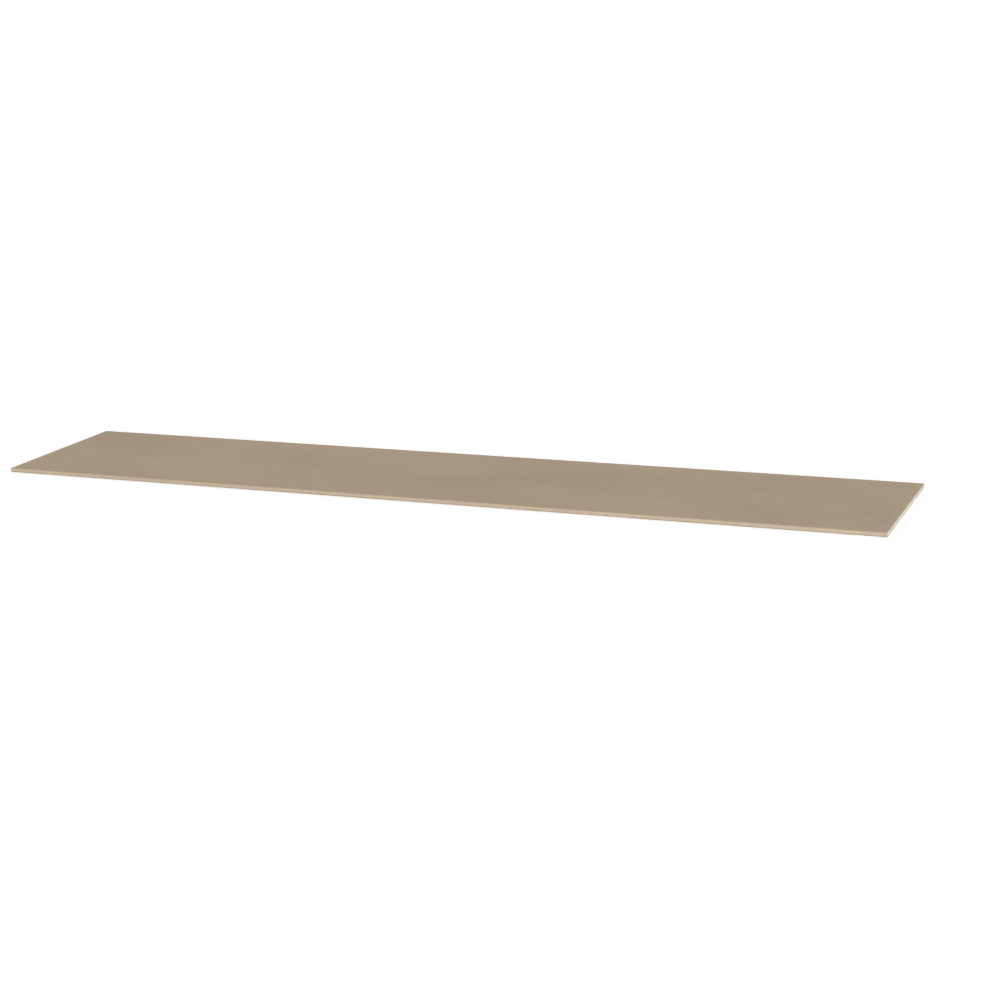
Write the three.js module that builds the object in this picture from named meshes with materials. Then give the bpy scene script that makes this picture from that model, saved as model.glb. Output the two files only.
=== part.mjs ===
// A narrow gypsum board (plaster-base lath) with half-round long edges, lying face up.
// A cast gypsum core sits between two papers. The face paper covers the top, wraps both long edges and
// folds a short way under the board. The back paper covers the underside and is glued over those folds.
// Units are millimetres, +Z is up and +X runs along the board. The origin is the centre of the underside.

import * as THREE from "three";

// Driving dimensions.
const LENGTH = 2000;
const WIDTH = 400;
const THICKNESS = 9.5; // over both papers
const PAPER_THICKNESS = 0.3;
const FLAP_WIDTH = 20; // how far the face paper reaches under the board, from its long edge
const BACK_PAPER_INSET = 8; // from the long edge to the edge of the back paper
const EDGE_SEGMENTS = 24; // facets round one half-round edge

// The levels of the section, from the floor up.
const FLAP_UNDERSIDE = PAPER_THICKNESS;
const FLAP_TOPSIDE = FLAP_UNDERSIDE + PAPER_THICKNESS;
const PAPER_RADIUS = (THICKNESS - FLAP_UNDERSIDE) / 2; // outside of the paper round the edge
const CORE_RADIUS = PAPER_RADIUS - PAPER_THICKNESS;
const EDGE_CENTRE_HEIGHT = FLAP_UNDERSIDE + PAPER_RADIUS;
const EDGE_CENTRE_OFFSET = WIDTH / 2 - PAPER_RADIUS;
const FLAP_END = WIDTH / 2 - FLAP_WIDTH;
const BACK_PAPER_HALF_WIDTH = WIDTH / 2 - BACK_PAPER_INSET;

// Colours and finishes.
const faceMaterial = new THREE.MeshStandardMaterial({ color: 0xbeaa91, roughness: 0.85, metalness: 0 });
const backMaterial = new THREE.MeshStandardMaterial({ color: 0xb3a490, roughness: 0.9, metalness: 0 });
const gypsumMaterial = new THREE.MeshStandardMaterial({ color: 0xe4ddd0, roughness: 0.95, metalness: 0 });

// Points of a half circle round one long edge, from the top of the board to its underside.
// side is 1 for the edge at +Y and -1 for the edge at -Y.
function edgeArc(side, radius) {
  const points = [];
  for (let i = 0; i <= EDGE_SEGMENTS; i++) {
    const turn = (Math.PI * i) / EDGE_SEGMENTS;
    const across = EDGE_CENTRE_OFFSET + radius * Math.sin(turn);
    points.push(new THREE.Vector2(side * across, EDGE_CENTRE_HEIGHT + radius * Math.cos(turn)));
  }
  return points;
}

// The inside of the folded paper and the outside of the core, from one flap's end over the board to the other's.
function wrapLine(radius, flapHeight) {
  return [
    new THREE.Vector2(-FLAP_END, flapHeight),
    ...edgeArc(-1, radius).reverse(),
    ...edgeArc(1, radius),
    new THREE.Vector2(FLAP_END, flapHeight),
  ];
}

// The core is cast into the folded paper, so it is thinner by one paper over each flap.
function coreSection() {
  return new THREE.Shape([
    new THREE.Vector2(-FLAP_END, FLAP_UNDERSIDE),
    ...wrapLine(CORE_RADIUS, FLAP_TOPSIDE),
    new THREE.Vector2(FLAP_END, FLAP_UNDERSIDE),
  ]);
}

function facePaperSection() {
  return new THREE.Shape([
    ...wrapLine(PAPER_RADIUS, FLAP_UNDERSIDE),
    ...wrapLine(CORE_RADIUS, FLAP_TOPSIDE).reverse(),
  ]);
}

function backPaperSection() {
  return new THREE.Shape([
    new THREE.Vector2(-BACK_PAPER_HALF_WIDTH, 0),
    new THREE.Vector2(BACK_PAPER_HALF_WIDTH, 0),
    new THREE.Vector2(BACK_PAPER_HALF_WIDTH, FLAP_UNDERSIDE),
    new THREE.Vector2(-BACK_PAPER_HALF_WIDTH, FLAP_UNDERSIDE),
  ]);
}

// A piece of the board: its section, drawn with Y across and Z up, run along the whole length in X.
function runAlongBoard(name, section, material) {
  const geometry = new THREE.ExtrudeGeometry(section, { depth: LENGTH, bevelEnabled: false });
  geometry.translate(0, 0, -LENGTH / 2);
  const sectionToBoard = new THREE.Matrix4().makeBasis(
    new THREE.Vector3(0, 1, 0),
    new THREE.Vector3(0, 0, 1),
    new THREE.Vector3(1, 0, 0),
  );
  geometry.applyMatrix4(sectionToBoard);
  const mesh = new THREE.Mesh(geometry, material);
  mesh.name = name;
  return mesh;
}

const board = new THREE.Group();
board.add(
  runAlongBoard("gypsum_core", coreSection(), gypsumMaterial),
  runAlongBoard("face_paper", facePaperSection(), faceMaterial),
  runAlongBoard("back_paper", backPaperSection(), backMaterial),
);

export default board;
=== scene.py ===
"""A narrow gypsum board with half-round long edges, lying face up on a pale studio floor.

The board is three pieces, as it is made on the line: the cast gypsum core with its sawn ends, the face
paper that wraps both long edges and folds under, and the back paper that is glued over the two folds.
Lengths are in metres.
"""

import math

import bmesh
import bpy
from mathutils import Euler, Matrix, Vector


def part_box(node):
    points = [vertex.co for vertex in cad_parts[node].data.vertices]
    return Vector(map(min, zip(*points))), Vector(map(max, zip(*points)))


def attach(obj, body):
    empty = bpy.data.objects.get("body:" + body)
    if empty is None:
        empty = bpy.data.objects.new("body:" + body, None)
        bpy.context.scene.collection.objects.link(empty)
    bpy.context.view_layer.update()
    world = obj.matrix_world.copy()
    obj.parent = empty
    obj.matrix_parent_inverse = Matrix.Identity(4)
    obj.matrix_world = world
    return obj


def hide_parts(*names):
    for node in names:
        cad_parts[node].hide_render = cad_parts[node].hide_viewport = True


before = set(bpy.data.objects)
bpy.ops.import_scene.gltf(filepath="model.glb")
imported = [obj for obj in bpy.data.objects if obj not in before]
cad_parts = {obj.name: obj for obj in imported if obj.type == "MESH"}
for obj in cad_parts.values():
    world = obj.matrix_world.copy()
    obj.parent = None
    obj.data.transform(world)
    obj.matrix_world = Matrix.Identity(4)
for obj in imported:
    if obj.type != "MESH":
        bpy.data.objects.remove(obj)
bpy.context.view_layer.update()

MM = 0.001
TINY = 1e-6  # two places closer than this are the same

# The board, as model.glb gives it.
face_low, face_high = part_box("face_paper")
back_low, back_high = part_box("back_paper")
HALF_LENGTH = face_high.x
HALF_WIDTH = face_high.y
THICKNESS = face_high.z
PAPER = back_high.z - back_low.z
BACK_HALF_WIDTH = back_high.y
PAPER_RADIUS = (face_high.z - face_low.z) / 2  # to the outside of the paper, round a long edge
CORE_RADIUS = PAPER_RADIUS - PAPER
EDGE_HEIGHT = face_low.z + PAPER_RADIUS  # up to the middle of a half-round edge
EDGE_OFFSET = HALF_WIDTH - PAPER_RADIUS  # from the board's centre line to the same middle

FLAP_WIDTH = 20 * MM  # how far the face paper reaches under the board, from its long edge

# How finely the pieces are cut.
QUARTER_SEGMENTS = 10  # round a quarter of a long edge
END_CUTS = (100, 5)  # across a sawn end of the core, one round of cuts after the other
FACE_PAPER_COLUMNS = 8
FACE_PAPER_ROWS = 780
FACE_PAPER_END_CUTS = (0.4 * MM, 1.2 * MM, 4 * MM, 12 * MM)  # places of extra cuts, from each sawn end
FLAP_ROWS = 4
BACK_PAPER_COLUMNS = 40
BACK_PAPER_ROWS = 760
SAME_CORNER = 0.01 * MM  # corners closer than this are merged
SMOOTH_BELOW = math.radians(40)  # an edge that turns by more than this stays sharp

# Marks made by noise: the width of its lumps, how far it moves the surface, and the level of the noise
# at which nothing moves. The saw leaves all of them but the last.
SAW_WANDER = (14 * MM, 0.3 * MM, -0.4)
CRUMBLE = (1.6 * MM, 0.35 * MM, 0.3)
PITS = (2.4 * MM, 0.25 * MM, 0.8)
CUT_LINE_WANDER = (40 * MM, 0.4 * MM, 0.5)
TORN_PAPER = (2.2 * MM, 0.35 * MM, 0.5)
FRAYED_FIBRES = (0.9 * MM, 0.3 * MM, 0.5)
CUT_LINE_CURL = (5 * MM, 0.16 * MM, 0.2)
GLUED_EDGE_WANDER = (180 * MM, 1.6 * MM, 0.5)

CUT_LINES = "cut_lines"  # the corners along a paper's two sawn ends

# The papers' own map, in metres over the paper as it was before it was folded.
FLAT_PAPER = "flat_paper"

# The core's own texture map, whose sides are 1 long.
TEXTURE_MAP = "OFBake"
STRIPS_PER_END = 4  # a sawn end is cut into this many strips, laid one over another
STRIP_ROW = 0.1  # the height of a strip's place on the map
HIDDEN_ROW = (1 - 2 * STRIPS_PER_END * STRIP_ROW) / 2  # the same for the core's top, and its underside
MAP_MARGIN = 0.005  # kept clear round each place
END_DEPTH = 2 * MM  # a face closer to the board's end than this is part of the sawn end


# ---------------------------------------------------------------- modelling by hand


def take_alone(piece):
    """This piece, and no other, is selected and active."""
    bpy.ops.object.select_all(action="DESELECT")
    piece.select_set(True)
    bpy.context.view_layer.objects.active = piece


def start_shaping(piece):
    """Edit mode on this piece alone, with nothing picked."""
    take_alone(piece)
    bpy.ops.object.mode_set(mode="EDIT")
    bpy.ops.mesh.select_all(action="DESELECT")


def stop_shaping():
    bpy.ops.object.mode_set(mode="OBJECT")


def pick(piece, element, wanted):
    """Picks the corners, edges or faces whose list of points passes the test wanted, and no others."""
    bpy.ops.mesh.select_mode(type=element)
    bpy.ops.mesh.select_all(action="DESELECT")
    shape = bmesh.from_edit_mesh(piece.data)
    if element == "VERT":
        for corner in shape.verts:
            corner.select_set(wanted([corner.co]))
    else:
        for item in shape.edges if element == "EDGE" else shape.faces:
            if wanted([corner.co for corner in item.verts]):
                item.select_set(True)
    shape.select_flush_mode()
    bmesh.update_edit_mesh(piece.data)


def pick_last(piece, place):
    """Makes the picked corner at this place the active one, as if it had been picked after the others."""
    shape = bmesh.from_edit_mesh(piece.data)
    shape.select_history.clear()
    shape.select_history.add(next(corner for corner in shape.verts if (corner.co - place).length < TINY))
    bmesh.update_edit_mesh(piece.data)


def tidy_shell():
    """Corners that have come together are merged, and all faces then point outwards."""
    bpy.ops.mesh.select_all(action="SELECT")
    bpy.ops.mesh.remove_doubles(threshold=SAME_CORNER)
    bpy.ops.mesh.normals_make_consistent(inside=False)


def name_corners(piece, group, wanted):
    """A vertex group of the corners whose place passes the test wanted."""
    corners = [corner.index for corner in piece.data.vertices if wanted(corner.co)]
    piece.vertex_groups.new(name=group).add(corners, 1.0, "REPLACE")


def roughen(piece, group, mark, direction, turned=1, kind="CLOUDS", **settings):
    """Moves the corners of a group by noise, for good. With turned at -1 they move the other way."""
    width, depth, still_level = mark
    texture = bpy.data.textures.new(f"{group}_noise", kind)
    texture.noise_scale = width
    for key, value in settings.items():
        setattr(texture, key, value)
    take_alone(piece)
    bump = piece.modifiers.new("roughen", "DISPLACE")
    bump.texture = texture
    bump.texture_coords = "LOCAL"
    bump.vertex_group = group
    bump.direction = direction
    bump.strength = turned * depth
    bump.mid_level = still_level
    bpy.ops.object.modifier_apply(modifier=bump.name)


def give_thickness(piece, thickness):
    """Turns a sheet into a closed shell that grows inwards, away from its outside."""
    take_alone(piece)
    shell = piece.modifiers.new("paper thickness", "SOLIDIFY")
    shell.thickness = thickness
    shell.offset = -1
    shell.use_even_offset = True
    bpy.ops.object.modifier_apply(modifier=shell.name)


def new_sheet(name, columns, rows, width, height):
    """A flat sheet as long as the board, cut into columns along it and rows across it."""
    bpy.ops.object.select_all(action="DESELECT")
    bpy.ops.mesh.primitive_grid_add(
        x_subdivisions=columns, y_subdivisions=rows, size=1, location=(0, 0, height)
    )
    sheet = bpy.context.object
    sheet.scale = (2 * HALF_LENGTH, width, 1)
    place_for_good(sheet, name)
    return sheet


def place_for_good(piece, name):
    """The piece's place goes into its mesh, and its object stays at the origin."""
    bpy.ops.object.transform_apply(location=True, rotation=True, scale=True)
    piece.name = name
    piece.data.name = name


def finish_piece(piece, node, material):
    """The last steps for each piece: its material, its shading and the node that it stands for."""
    piece.data.materials.clear()
    piece.data.materials.append(material)
    take_alone(piece)
    bpy.ops.object.shade_smooth_by_angle(angle=SMOOTH_BELOW)
    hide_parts(node)
    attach(piece, "root")


# ---------------------------------------------------------------- the gypsum core


def cast_core():
    """The gypsum, cast into the folded paper, with its two sawn ends crumbly and pitted."""
    bpy.ops.object.select_all(action="DESELECT")
    bpy.ops.mesh.primitive_cube_add(size=1, location=(0, 0, EDGE_HEIGHT))
    core = bpy.context.object
    core.scale = (2 * HALF_LENGTH, 2 * (EDGE_OFFSET + CORE_RADIUS), 2 * CORE_RADIUS)
    place_for_good(core, "cast_gypsum_core")

    start_shaping(core)
    pick(core, "EDGE", runs_along)
    bpy.ops.mesh.bevel(offset=CORE_RADIUS, segments=QUARTER_SEGMENTS, profile=0.5)
    tidy_shell()
    grid_sawn_ends(core)
    fill_between_flaps(core)
    tidy_shell()
    stop_shaping()

    crumble_sawn_ends(core)
    lay_out_core(core)
    return core


def runs_along(points):
    """True on a line that runs the whole length of the board."""
    return abs(points[0].x - points[-1].x) > HALF_LENGTH


def is_flat_end_line(points):
    """True on the straight lines of a sawn end, along its top and its bottom."""
    at_top_or_bottom = all(abs(abs(p.z - EDGE_HEIGHT) - CORE_RADIUS) < TINY for p in points)
    return at_top_or_bottom and not runs_along(points)


def grid_sawn_ends(core):
    """Opens the sawn ends, cuts their straight lines into short lengths and fills both with a grid."""
    pick(core, "FACE", lambda points: max(p.x for p in points) - min(p.x for p in points) < TINY)
    bpy.ops.mesh.delete(type="ONLY_FACE")
    for cuts in END_CUTS:
        pick(core, "EDGE", is_flat_end_line)
        bpy.ops.mesh.subdivide(number_cuts=cuts)
    for end in (-HALF_LENGTH, HALF_LENGTH):
        pick(core, "VERT", lambda points: abs(points[0].x - end) < TINY)
        # The grid starts where a half-round edge meets the face, so that its rows run straight across.
        pick_last(core, Vector((end, -math.copysign(EDGE_OFFSET, end), EDGE_HEIGHT + CORE_RADIUS)))
        bpy.ops.mesh.fill_grid(span=2 * QUARTER_SEGMENTS)


def fill_between_flaps(core):
    """Between the two folds of the face paper the gypsum reaches down to the back paper."""
    flap_end = HALF_WIDTH - FLAP_WIDTH
    underside = EDGE_HEIGHT - CORE_RADIUS
    pick(core, "VERT", lambda points: points[0].z < underside + TINY and abs(points[0].y) < flap_end)
    bpy.ops.transform.translate(value=(0, 0, -PAPER))


def crumble_sawn_ends(core):
    """Roughens both sawn ends, mostly inwards, so that the gypsum lies a little behind the cut papers."""
    pitted = {"kind": "VORONOI", "intensity": 0.9, "contrast": 2.2}  # low in the middle of each pit
    for side, inwards in (("left", 1), ("right", -1)):
        end = f"{side}_end"
        name_corners(core, end, lambda p: abs(p.x + inwards * HALF_LENGTH) < TINY)
        roughen(core, end, SAW_WANDER, "X", turned=inwards, noise_depth=1)
        roughen(core, end, CRUMBLE, "X", turned=inwards, noise_depth=3)
        roughen(core, end, PITS, "X", turned=-inwards, **pitted)


def lay_out_core(core):
    """A texture map: the sawn ends in strips, and what the papers hide on the rest."""
    layout = core.data.uv_layers.new(name=TEXTURE_MAP)
    strip_length = 2 * HALF_WIDTH / STRIPS_PER_END
    for face in core.data.polygons:
        middle = face.center
        points = [core.data.vertices[corner].co for corner in face.vertices]
        if abs(middle.x) > HALF_LENGTH - END_DEPTH:
            strip = math.floor((middle.y + HALF_WIDTH) / strip_length)
            row = strip + (STRIPS_PER_END if middle.x > 0 else 0)
            places = [
                ((p.y + HALF_WIDTH) / strip_length - strip, (p.z - EDGE_HEIGHT) / THICKNESS + 0.5)
                for p in points
            ]
            bottom, height = row * STRIP_ROW, STRIP_ROW
        else:
            row = 0 if middle.z > EDGE_HEIGHT else 1
            places = [(p.x / HALF_LENGTH / 2 + 0.5, p.y / HALF_WIDTH / 2 + 0.5) for p in points]
            bottom, height = 2 * STRIPS_PER_END * STRIP_ROW + row * HIDDEN_ROW, HIDDEN_ROW
        for loop, (along, up) in zip(face.loop_indices, places):
            layout.data[loop].uv = (
                MAP_MARGIN + (1 - 2 * MAP_MARGIN) * along,
                bottom + MAP_MARGIN + (height - 2 * MAP_MARGIN) * up,
            )


# ---------------------------------------------------------------- the two papers


def lay_out_flat(sheet, across):
    """The paper's own map: along the board, and across the paper as it was before it was folded."""
    layout = sheet.data.uv_layers.new(name=FLAT_PAPER)
    for loop in sheet.data.loops:
        point = sheet.data.vertices[loop.vertex_index].co
        layout.data[loop.index].uv = (point.x, across(point))


def across_face_paper(point):
    """How far from the board's centre line a point of the folded face paper lies, over the paper."""
    side = math.copysign(1, point.y)
    past_flat = abs(point.y) - EDGE_OFFSET
    if past_flat > TINY:
        turn = math.atan2(past_flat, point.z - EDGE_HEIGHT)
        return side * (EDGE_OFFSET + PAPER_RADIUS * turn)
    if point.z > EDGE_HEIGHT:
        return point.y
    return side * (EDGE_OFFSET + PAPER_RADIUS * math.pi - past_flat)


def cut_across(place):
    """A line of corners across the sheet at x = place."""
    bpy.ops.mesh.select_all(action="SELECT")
    bpy.ops.mesh.bisect(plane_co=(place, 0, 0), plane_no=(1, 0, 0))


def fold_under(sheet, side):
    """Turns the sheet round the board's long edge on this side, and lays its flap under the board."""
    pick(sheet, "EDGE", lambda points: all(abs(p.y - side * EDGE_OFFSET) < TINY for p in points))
    bpy.ops.mesh.spin(
        steps=2 * QUARTER_SEGMENTS,
        angle=side * math.pi,
        center=(0, side * EDGE_OFFSET, EDGE_HEIGHT),
        axis=(1, 0, 0),
    )
    flap_step = (FLAP_WIDTH - PAPER_RADIUS) / FLAP_ROWS
    for _ in range(FLAP_ROWS):
        bpy.ops.mesh.extrude_region_move(TRANSFORM_OT_translate={"value": (0, -side * flap_step, 0)})


def fray_cut_lines(sheet):
    """The two sawn ends of a paper wander a little and are torn fine."""
    name_corners(sheet, CUT_LINES, lambda p: abs(abs(p.x) - HALF_LENGTH) < TINY)
    roughen(sheet, CUT_LINES, CUT_LINE_WANDER, "X")
    roughen(sheet, CUT_LINES, TORN_PAPER, "X", noise_depth=2)
    roughen(sheet, CUT_LINES, FRAYED_FIBRES, "X", noise_depth=1)


def fold_face_paper():
    """The face paper: flat over the top, turned round each long edge and folded under."""
    columns, rows = FACE_PAPER_COLUMNS, FACE_PAPER_ROWS
    sheet = new_sheet("folded_face_paper", columns, rows, width=2 * EDGE_OFFSET, height=THICKNESS)
    start_shaping(sheet)
    for end in (-1, 1):
        for from_end in FACE_PAPER_END_CUTS:
            cut_across(end * (HALF_LENGTH - from_end))
    for side in (-1, 1):
        fold_under(sheet, side)
    tidy_shell()
    stop_shaping()
    fray_cut_lines(sheet)
    roughen(sheet, CUT_LINES, CUT_LINE_CURL, "NORMAL")
    lay_out_flat(sheet, across_face_paper)
    give_thickness(sheet, PAPER)
    return sheet


def lay_back_paper():
    """The back paper, its two long edges a little uneven where it is glued over the folds."""
    columns, rows = BACK_PAPER_COLUMNS, BACK_PAPER_ROWS
    sheet = new_sheet("glued_back_paper", columns, rows, width=2 * BACK_HALF_WIDTH, height=0)
    start_shaping(sheet)
    bpy.ops.mesh.select_all(action="SELECT")
    bpy.ops.mesh.flip_normals()
    stop_shaping()
    name_corners(sheet, "glued_edges", lambda p: abs(abs(p.y) - BACK_HALF_WIDTH) < TINY)
    roughen(sheet, "glued_edges", GLUED_EDGE_WANDER, "Y")
    fray_cut_lines(sheet)
    lay_out_flat(sheet, lambda point: point.y)
    give_thickness(sheet, PAPER)
    return sheet


# ---------------------------------------------------------------- materials

GYPSUM_COLOUR = (0.80, 0.744, 0.642, 1.0)
# painted shade: the darker colour inside the cut-open bubbles
GYPSUM_PAINTED_SHADE = (0.5, 0.44, 0.36, 1.0)
FACE_PULP = (0.535, 0.418, 0.292, 1.0)
FACE_PALE_FIBRE = (0.68, 0.56, 0.42, 1.0)
FACE_DARK_FIBRE = (0.33, 0.24, 0.155, 1.0)
BACK_PULP = (0.45, 0.37, 0.28, 1.0)
BACK_PALE_FIBRE = (0.62, 0.54, 0.44, 1.0)
BACK_DARK_FIBRE = (0.18, 0.15, 0.12, 1.0)

# The kinds of fibre: turn from the board's length in radians, length, whether dark, how much it shows.
# They lie nearer the board's length than across it, as the paper machine left them.
FIBRES = (
    (0.15, 2.6 * MM, True, 0.5),
    (-0.25, 2.2 * MM, False, 0.55),
    (0.7, 1.7 * MM, False, 0.45),
    (-0.9, 1.8 * MM, True, 0.4),
    (1.5, 1.4 * MM, False, 0.4),
)
FIBRE_WIDTH = 0.09 * MM
FIBRE_COVERAGE = 0.06  # the share of the paper that each kind covers
FIBRE_CURL = 1.5  # how far a fibre bends sideways, counted in the mean spacing of its kind
SPECK_SHARE = 0.55  # how much a dark speck shows

# Pale streaks where boards have slid over each other: turn, length, width, coverage, how much it shows.
RUB_MARKS = (
    (0.04, 260 * MM, 5 * MM, 0.02, 0.10),
    (-0.03, 120 * MM, 0.5 * MM, 0.012, 0.30),
    (0.09, 60 * MM, 0.35 * MM, 0.010, 0.30),
)

# Gypsum dust on the papers: how far in it lies from a sawn end, and how much it shows. Round the long
# edges the same pale film is partly dust and partly a painted highlight.
DUST_REACH = 22 * MM
DUST_AT_END = 0.34
# partly dust, partly a painted highlight along the top of each round edge
DUST_AND_HIGHLIGHT_ROUND_EDGE = 0.3

# The mean spacing of the air bubbles in the gypsum.
SMALL_BUBBLES = 0.9 * MM
LARGE_BUBBLES = 2.4 * MM

# Soft noise rarely leaves this range.
NOISE_LOW = 0.28
NOISE_HIGH = 0.72


class Recipe:
    """A material's node tree, built from small named steps. Lumps and marks are sized in metres."""

    def __init__(self, name, flat_paper=False):
        self.material = bpy.data.materials.new(name)
        self.material.use_nodes = True
        self.tree = self.material.node_tree
        self.tree.nodes.clear()
        self.shader = self.node("ShaderNodeBsdfPrincipled")
        output = self.node("ShaderNodeOutputMaterial")
        self.join(self.shader.outputs["BSDF"], output.inputs["Surface"])
        if flat_paper:
            self.place = self.node("ShaderNodeUVMap", uv_map=FLAT_PAPER).outputs["UV"]
            self.dimensions = "2D"
        else:
            self.place = self.node("ShaderNodeTexCoord").outputs["Object"]
            self.dimensions = "3D"

    def node(self, kind, **settings):
        made = self.tree.nodes.new(kind)
        for key, value in settings.items():
            setattr(made, key, value)
        return made

    def join(self, source, target):
        self.tree.links.new(source, target)

    def feed(self, value, socket):
        """A link where value is a socket, and a plain setting where it is a number or a colour."""
        if isinstance(value, bpy.types.NodeSocket):
            self.join(value, socket)
        else:
            socket.default_value = value

    def counted_in(self, length, width, turn):
        """The piece's coordinates, counted in lumps of this length and width that lie turned by turn."""
        mapping = self.node("ShaderNodeMapping", vector_type="TEXTURE")
        mapping.inputs["Scale"].default_value = (length, width, width)
        mapping.inputs["Rotation"].default_value = (0, 0, turn)
        self.join(self.place, mapping.inputs["Vector"])
        return mapping.outputs["Vector"]

    def clouds(self, length, width=None, turn=0.0, detail=2.0, rough=0.5):
        """Soft noise from 0 to 1, in lumps of this size."""
        noise = self.node("ShaderNodeTexNoise", noise_dimensions=self.dimensions)
        noise.inputs["Scale"].default_value = 1.0
        noise.inputs["Detail"].default_value = detail
        noise.inputs["Roughness"].default_value = rough
        self.join(self.counted_in(length, width or length, turn), noise.inputs["Vector"])
        return noise.outputs["Fac"]

    def from_nearest(self, length, width=None, turn=0.0, curl=0.0):
        """The distance to the nearest of many scattered points, counted in their mean spacing.

        With curl, the lumps round the points bend sideways by up to this many of their widths.
        """
        voronoi = self.node("ShaderNodeTexVoronoi", voronoi_dimensions=self.dimensions)
        voronoi.inputs["Scale"].default_value = 1.0
        vector = self.counted_in(length, width or length, turn)
        if curl:
            # A lump bends a few times over its length, and its neighbours bend with it.
            bend = self.clouds(length / 4, width * 4, turn, detail=0.0)
            sideways = self.node("ShaderNodeCombineXYZ")
            self.join(self.times(bend, curl), sideways.inputs["Y"])
            bent = self.node("ShaderNodeVectorMath", operation="ADD")
            self.join(vector, bent.inputs[0])
            self.join(sideways.outputs["Vector"], bent.inputs[1])
            vector = bent.outputs["Vector"]
        self.join(vector, voronoi.inputs["Vector"])
        return voronoi.outputs["Distance"]

    def marks(self, length, width, coverage, turn=0.0, curl=0.0):
        """Scattered marks over a share of the surface, 1 on a mark and 0 off it, with soft rims."""
        reach = math.sqrt(coverage / math.pi)
        distance = self.from_nearest(length / (2 * reach), width / (2 * reach), turn, curl)
        return self.span(distance, 0.6 * reach, reach, to_low=1.0, to_high=0.0)

    def bubbles(self, spacing):
        """The distance to the nearest bubble's middle, raised in places so that their sizes differ."""
        patches = self.clouds(1.7 * spacing, detail=1.0)
        raised = self.span(patches, 0.38, 0.62, to_low=-0.06, to_high=0.16)
        return self.plus(self.from_nearest(spacing), raised)

    def span(self, value, low, high, to_low=0.0, to_high=1.0):
        """Value from low..high carried over to to_low..to_high, held at both ends."""
        ramp = self.node("ShaderNodeMapRange", interpolation_type="SMOOTHSTEP")
        self.feed(value, ramp.inputs["Value"])
        ramp.inputs["From Min"].default_value = low
        ramp.inputs["From Max"].default_value = high
        ramp.inputs["To Min"].default_value = to_low
        ramp.inputs["To Max"].default_value = to_high
        return ramp.outputs["Result"]

    def maths(self, operation, first, second=0.0):
        step = self.node("ShaderNodeMath", operation=operation)
        self.feed(first, step.inputs[0])
        self.feed(second, step.inputs[1])
        return step.outputs["Value"]

    def plus(self, first, second):
        return self.maths("ADD", first, second)

    def times(self, first, second):
        return self.maths("MULTIPLY", first, second)

    def larger(self, first, second):
        return self.maths("MAXIMUM", first, second)

    def sway(self, noise, amount):
        """Noise as a change of up to this amount either way."""
        return self.span(noise, NOISE_LOW, NOISE_HIGH, to_low=-amount, to_high=amount)

    def blend(self, share, first, second, mode="MIX"):
        mix = self.node("ShaderNodeMix", data_type="RGBA", blend_type=mode)
        self.feed(share, mix.inputs["Factor"])
        self.feed(first, mix.inputs["A"])
        self.feed(second, mix.inputs["B"])
        return mix.outputs["Result"]

    def tone(self, colour, *changes):
        """A colour made lighter or darker by the sum of some small changes."""
        amount = 1.0
        for change in changes:
            amount = self.plus(change, amount)
        grey = self.node("ShaderNodeCombineColor")
        for channel in ("Red", "Green", "Blue"):
            self.join(amount, grey.inputs[channel])
        return self.blend(1.0, colour, grey.outputs["Color"], "MULTIPLY")

    def relief(self, height, depth, below=None):
        """The normal over bumps of this depth, which lie on the bumps below."""
        bump = self.node("ShaderNodeBump")
        bump.inputs["Distance"].default_value = depth
        self.feed(height, bump.inputs["Height"])
        if below is not None:
            self.join(below, bump.inputs["Normal"])
        return bump.outputs["Normal"]


def add_fibres(recipe, colour, pale_fibre, dark_fibre, fleck_share):
    """The colour with fibres and a few dark specks on it, and a map that is 1 on the fibres."""
    on_fibre = 0.0
    for turn, length, is_dark, share in FIBRES:
        fibre = recipe.marks(length, FIBRE_WIDTH, FIBRE_COVERAGE, turn, FIBRE_CURL)
        tint = dark_fibre if is_dark else pale_fibre
        colour = recipe.blend(recipe.times(fibre, share * fleck_share), colour, tint)
        on_fibre = recipe.larger(fibre, on_fibre)
    specks = recipe.marks(length=0.5 * MM, width=0.35 * MM, coverage=0.0016)
    colour = recipe.blend(recipe.times(specks, SPECK_SHARE * fleck_share), colour, dark_fibre)
    return colour, on_fibre


def add_rub_marks(recipe, colour, pale_fibre, rub_share):
    """The colour with faint pale streaks on it."""
    for turn, length, width, coverage, share in RUB_MARKS:
        rub = recipe.marks(length, width, coverage, turn)
        colour = recipe.blend(recipe.times(rub, share * rub_share), colour, pale_fibre)
    return colour


def add_dust_and_highlight(recipe, colour):
    """The colour under a film of gypsum dust close to the sawn ends, and round the long edges under a
    pale film that is partly dust and partly a painted highlight.
    """
    parts = recipe.node("ShaderNodeSeparateXYZ")
    recipe.join(recipe.place, parts.inputs["Vector"])
    from_middle = recipe.maths("ABSOLUTE", parts.outputs["X"])
    near_end = recipe.span(from_middle, HALF_LENGTH - DUST_REACH, HALF_LENGTH, to_high=DUST_AT_END)
    from_centre_line = recipe.maths("ABSOLUTE", parts.outputs["Y"])
    on_edge = EDGE_OFFSET + PAPER_RADIUS
    # partly gypsum dust, partly a painted highlight where the round edge catches the light
    edge_dust_and_highlight = recipe.span(from_centre_line, EDGE_OFFSET, on_edge, to_high=DUST_AND_HIGHLIGHT_ROUND_EDGE)
    powder = recipe.span(recipe.clouds(0.8 * MM, detail=3.0, rough=0.7), 0.4, 0.7)
    drifts = recipe.span(recipe.clouds(14 * MM), 0.3, 0.7, to_low=0.25)
    dust_and_highlight = recipe.times(recipe.larger(near_end, edge_dust_and_highlight), recipe.times(powder, drifts))
    return recipe.blend(dust_and_highlight, colour, GYPSUM_COLOUR)


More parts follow.
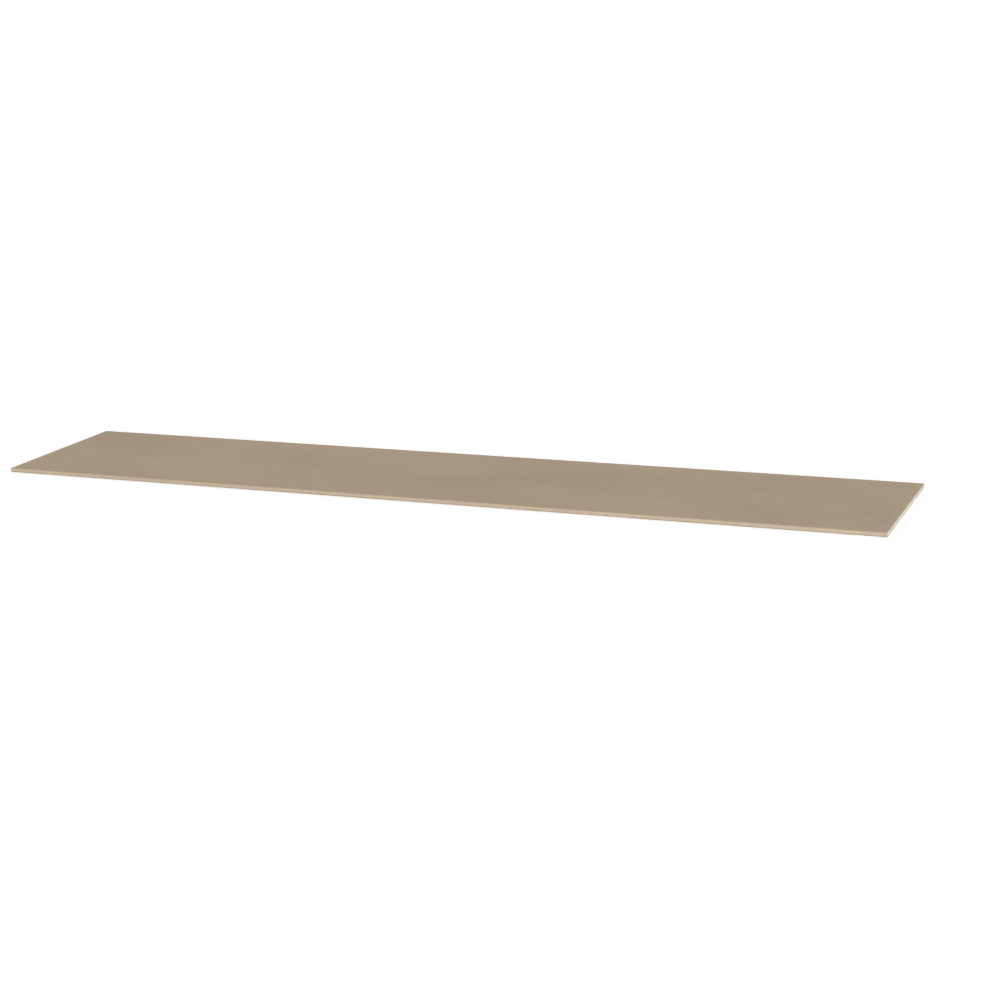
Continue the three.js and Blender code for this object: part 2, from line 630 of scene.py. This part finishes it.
def liner_paper(name, pulp, pale_fibre, dark_fibre, fleck_share, rub_share):
    """Recycled liner paper: cloudy pulp, long machine streaks, fibres, rub marks and gypsum dust.

    fleck_share is how much its fibres and specks show, and rub_share how much its rub marks do.
    """
    recipe = Recipe(name, flat_paper=True)
    broad = recipe.clouds(420 * MM, 260 * MM, detail=1.0)
    streaks = recipe.clouds(900 * MM, 16 * MM, detail=3.0)
    mottling = recipe.clouds(45 * MM, 30 * MM)
    formation = recipe.clouds(9 * MM, 6 * MM, detail=3.0, rough=0.6)
    pulp_grain = recipe.clouds(0.7 * MM, 0.5 * MM, rough=0.6)
    colour = recipe.tone(
        pulp,
        recipe.sway(broad, 0.042),
        recipe.sway(streaks, 0.009),
        recipe.sway(mottling, 0.012),
        recipe.sway(formation, 0.03),
        recipe.sway(pulp_grain, 0.05),
    )
    colour, on_fibre = add_fibres(recipe, colour, pale_fibre, dark_fibre, fleck_share)
    colour = add_rub_marks(recipe, colour, pale_fibre, rub_share)
    colour = add_dust_and_highlight(recipe, colour)

    recipe.feed(colour, recipe.shader.inputs["Base Color"])
    roughness = recipe.span(formation, 0.3, 0.7, to_low=0.78, to_high=0.9)
    recipe.feed(roughness, recipe.shader.inputs["Roughness"])
    recipe.shader.inputs["Specular IOR Level"].default_value = 0.3
    tooth = recipe.relief(pulp_grain, 0.05 * MM)
    hairs = recipe.relief(on_fibre, 0.012 * MM, below=tooth)
    felt = recipe.relief(formation, 0.1 * MM, below=hairs)
    waves = recipe.clouds(160 * MM, 70 * MM, detail=1.0)
    recipe.join(recipe.relief(waves, 0.5 * MM, below=felt), recipe.shader.inputs["Normal"])
    return recipe.material


def sawn_gypsum(name):
    """Chalky foamed gypsum: slow patches of tone, crumbs, and air bubbles that the saw cut open, with
    painted shade in their hollows.
    """
    recipe = Recipe(name)
    patches = recipe.clouds(16 * MM, detail=3.0, rough=0.6)
    crumbs = recipe.clouds(1.1 * MM, detail=3.0, rough=0.65)
    colour = recipe.tone(GYPSUM_COLOUR, recipe.sway(patches, 0.045), recipe.sway(crumbs, 0.05))
    small = recipe.bubbles(SMALL_BUBBLES)
    large = recipe.bubbles(LARGE_BUBBLES)
    # painted shade inside the bubbles, darkest in their middles
    small_bubble_shade = recipe.span(small, 0.12, 0.3, to_low=0.3, to_high=0.0)
    large_bubble_shade = recipe.span(large, 0.1, 0.2, to_low=0.45, to_high=0.0)
    colour = recipe.blend(small_bubble_shade, colour, GYPSUM_PAINTED_SHADE)
    colour = recipe.blend(large_bubble_shade, colour, GYPSUM_PAINTED_SHADE)

    recipe.feed(colour, recipe.shader.inputs["Base Color"])
    recipe.shader.inputs["Roughness"].default_value = 0.95
    recipe.shader.inputs["Specular IOR Level"].default_value = 0.25
    chalk = recipe.relief(crumbs, 0.3 * MM)
    hollows = recipe.relief(recipe.span(small, 0.1, 0.35), 0.2 * MM, below=chalk)
    deep_hollows = recipe.relief(recipe.span(large, 0.08, 0.22), 0.4 * MM, below=hollows)
    recipe.join(deep_hollows, recipe.shader.inputs["Normal"])
    return recipe.material


# ---------------------------------------------------------------- studio

FLOOR_COLOUR = (0.72, 0.72, 0.72, 1.0)  # as it lights the board
FLOOR_SEEN_COLOUR = (0.9, 0.9, 0.9, 1.0)
FLOOR_SEEN_LIFT = 0.46  # the glow that brings the seen floor up to white
FLOOR_SIZE = 400.0  # wide enough to fill the view up to the horizon
FLOOR_DROP = 0.2 * MM  # how far it lies under the board, so that the two don't share a plane
SKY_LIGHT = 0.263  # the strength of the dome that lights the board. It is seen at 1, which is white.


def seen_by_eye(tree):
    """1 for what the camera sees, straight or in gloss or glass, and 0 for light that falls on things."""
    path = tree.nodes.new("ShaderNodeLightPath")
    seen = path.outputs["Is Camera Ray"]
    for other in ("Is Glossy Ray", "Is Transmission Ray"):
        either = tree.nodes.new("ShaderNodeMath")
        either.operation = "MAXIMUM"
        tree.links.new(seen, either.inputs[0])
        tree.links.new(path.outputs[other], either.inputs[1])
        seen = either.outputs["Value"]
    return seen


def white_floor():
    """A matte grey floor that looks white and keeps the board's shadow."""
    bpy.ops.object.select_all(action="DESELECT")
    bpy.ops.mesh.primitive_plane_add(size=FLOOR_SIZE, location=(0, 0, -FLOOR_DROP))
    floor = bpy.context.object
    floor.name = "studio_floor"
    material = bpy.data.materials.new("studio_white")
    material.use_nodes = True
    tree = material.node_tree
    tree.nodes.clear()
    output = tree.nodes.new("ShaderNodeOutputMaterial")
    matte = tree.nodes.new("ShaderNodeBsdfDiffuse")
    seen_matte = tree.nodes.new("ShaderNodeBsdfDiffuse")
    lift = tree.nodes.new("ShaderNodeEmission")
    together = tree.nodes.new("ShaderNodeAddShader")
    choice = tree.nodes.new("ShaderNodeMixShader")
    matte.inputs["Color"].default_value = FLOOR_COLOUR
    seen_matte.inputs["Color"].default_value = FLOOR_SEEN_COLOUR
    lift.inputs["Strength"].default_value = FLOOR_SEEN_LIFT
    tree.links.new(seen_matte.outputs["BSDF"], together.inputs[0])
    tree.links.new(lift.outputs["Emission"], together.inputs[1])
    tree.links.new(seen_by_eye(tree), choice.inputs["Fac"])
    tree.links.new(matte.outputs["BSDF"], choice.inputs[1])
    tree.links.new(together.outputs["Shader"], choice.inputs[2])
    tree.links.new(choice.outputs["Shader"], output.inputs["Surface"])
    floor.data.materials.append(material)


def studio_sky():
    """An even dome of light that looks white."""
    world = bpy.data.worlds.new("studio_sky")
    bpy.context.scene.world = world
    world.use_nodes = True
    tree = world.node_tree
    tree.nodes.clear()
    output = tree.nodes.new("ShaderNodeOutputWorld")
    background = tree.nodes.new("ShaderNodeBackground")
    background.inputs["Color"].default_value = (1.0, 1.0, 1.0, 1.0)
    strength = tree.nodes.new("ShaderNodeMapRange")
    strength.inputs["To Min"].default_value = SKY_LIGHT
    strength.inputs["To Max"].default_value = 1.0
    tree.links.new(seen_by_eye(tree), strength.inputs["Value"])
    tree.links.new(strength.outputs["Result"], background.inputs["Strength"])
    tree.links.new(background.outputs["Background"], output.inputs["Surface"])


def hang_lamp(name, lamp, outwards):
    """Adds a lamp that the camera doesn't see. The vector outwards points from the board to the lamp."""
    holder = bpy.data.objects.new(name, lamp)
    bpy.context.scene.collection.objects.link(holder)
    holder.rotation_euler = outwards.to_track_quat("Z", "Y").to_euler()
    holder.visible_camera = False
    return holder


def far_softbox(name, azimuth, elevation, strength, spread):
    """A large soft light far away, from azimuth degrees round from the front towards +X."""
    lamp = bpy.data.lights.new(name, "SUN")
    lamp.energy = strength
    lamp.angle = math.radians(spread)
    turn, rise = math.radians(azimuth), math.radians(elevation)
    along_floor = math.cos(rise)
    outwards = Vector((math.sin(turn) * along_floor, -math.cos(turn) * along_floor, math.sin(rise)))
    return hang_lamp(name, lamp, outwards)


def near_softbox(name, place, aim, size, strength):
    """A square soft light close to the board, aimed at a point of it."""
    lamp = bpy.data.lights.new(name, "AREA")
    lamp.shape = "SQUARE"
    lamp.size = size
    lamp.energy = strength
    holder = hang_lamp(name, lamp, Vector(place) - Vector(aim))
    holder.location = place


def light_board():
    """A main light from the front right, a low one from behind, and a small one for the right end."""
    far_softbox("front_softbox", azimuth=35, elevation=17, strength=2.5, spread=46)
    back_light = far_softbox("back_softbox", azimuth=238, elevation=7, strength=2.3, spread=50)
    back_light.visible_glossy = False
    near_softbox("right_softbox", place=(2.6, -2.6, 0.4), aim=(0.6, 0, 0), size=1.2, strength=23)


# The camera stands to the front right of the board and looks left and a little down. Angles in degrees.
CAMERA_PLACE = Vector((1.685, -3.795, 1.041))
CAMERA_YAW = 22.377
CAMERA_PITCH = 14.728
CAMERA_ROLL = -1.793
LENS_IN_FRAME_WIDTHS = 1.9571
SENSOR_WIDTH = 36.0  # in millimetres, as the lens is


def set_camera():
    data = bpy.data.cameras.new("camera")
    data.sensor_width = SENSOR_WIDTH
    data.sensor_fit = "HORIZONTAL"
    data.lens = LENS_IN_FRAME_WIDTHS * SENSOR_WIDTH
    data.clip_end = 2 * FLOOR_SIZE
    camera = bpy.data.objects.new("camera", data)
    bpy.context.scene.collection.objects.link(camera)
    camera.location = CAMERA_PLACE
    level = Euler((math.radians(90 - CAMERA_PITCH), 0, math.radians(CAMERA_YAW)), "XYZ").to_matrix()
    roll = Euler((0, 0, math.radians(CAMERA_ROLL)), "XYZ").to_matrix()
    camera.rotation_euler = (level @ roll).to_euler()
    bpy.context.scene.camera = camera


# ---------------------------------------------------------------- putting it together

set_camera()
face_liner = liner_paper(
    "tan_face_liner", FACE_PULP, FACE_PALE_FIBRE, FACE_DARK_FIBRE, fleck_share=0.6, rub_share=1.0
)
back_liner = liner_paper(
    "grey_back_liner", BACK_PULP, BACK_PALE_FIBRE, BACK_DARK_FIBRE, fleck_share=1.0, rub_share=0.6
)
gypsum = sawn_gypsum("sawn_gypsum")
finish_piece(cast_core(), "gypsum_core", gypsum)
finish_piece(fold_face_paper(), "face_paper", face_liner)
finish_piece(lay_back_paper(), "back_paper", back_liner)
white_floor()
studio_sky()
light_board()
bpy.context.scene.view_settings.view_transform = "Standard"
